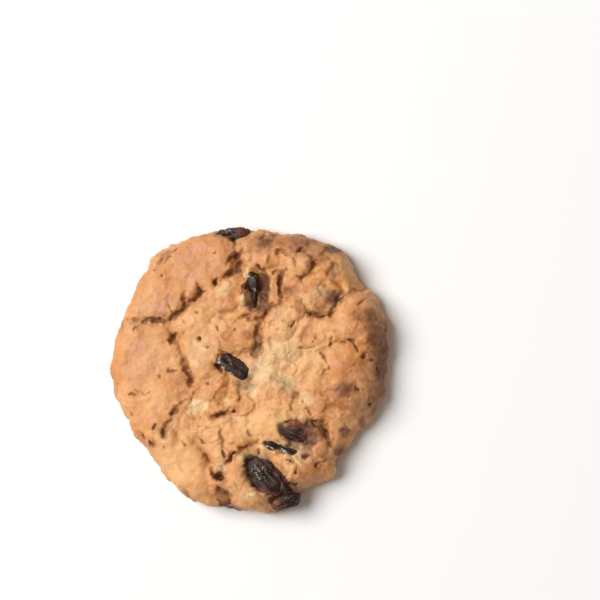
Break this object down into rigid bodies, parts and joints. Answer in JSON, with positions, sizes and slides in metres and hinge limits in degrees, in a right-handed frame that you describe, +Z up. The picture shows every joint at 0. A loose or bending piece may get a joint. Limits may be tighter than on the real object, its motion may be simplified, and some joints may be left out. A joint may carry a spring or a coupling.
{
  "type": "oatmeal raisin cookie",
  "caption": "Round, craggy oatmeal cookie with a cracked, lumpy golden-brown top, a flat underside, and dark wrinkled raisins set into the dough.",
  "frame": {"origin": "on the underside that the cookie rests on, below the middle of its box", "axes": "+Z up out of the cookie's top, +Y towards the rim that is uppermost in the picture, +X to its right"},
  "size_m": [0.0852, 0.085, 0.0137],
  "materials": {
    "dough": "baked, dry and matte, golden brown with paler crumb in the cracks",
    "raisin": "dark purple-black wrinkled skin with a soft gloss"
  },
  "bodies": {
    "root": {"dough": "dough", "raisin_pit": "raisin", "raisin_centre": "raisin", "raisin_lump": "raisin", "raisin_sliver": "raisin", "raisin_large": "raisin", "raisin_edge": "raisin", "raisin_rim": "raisin", "raisin_hem": "raisin"}
  },
  "joints": []
}
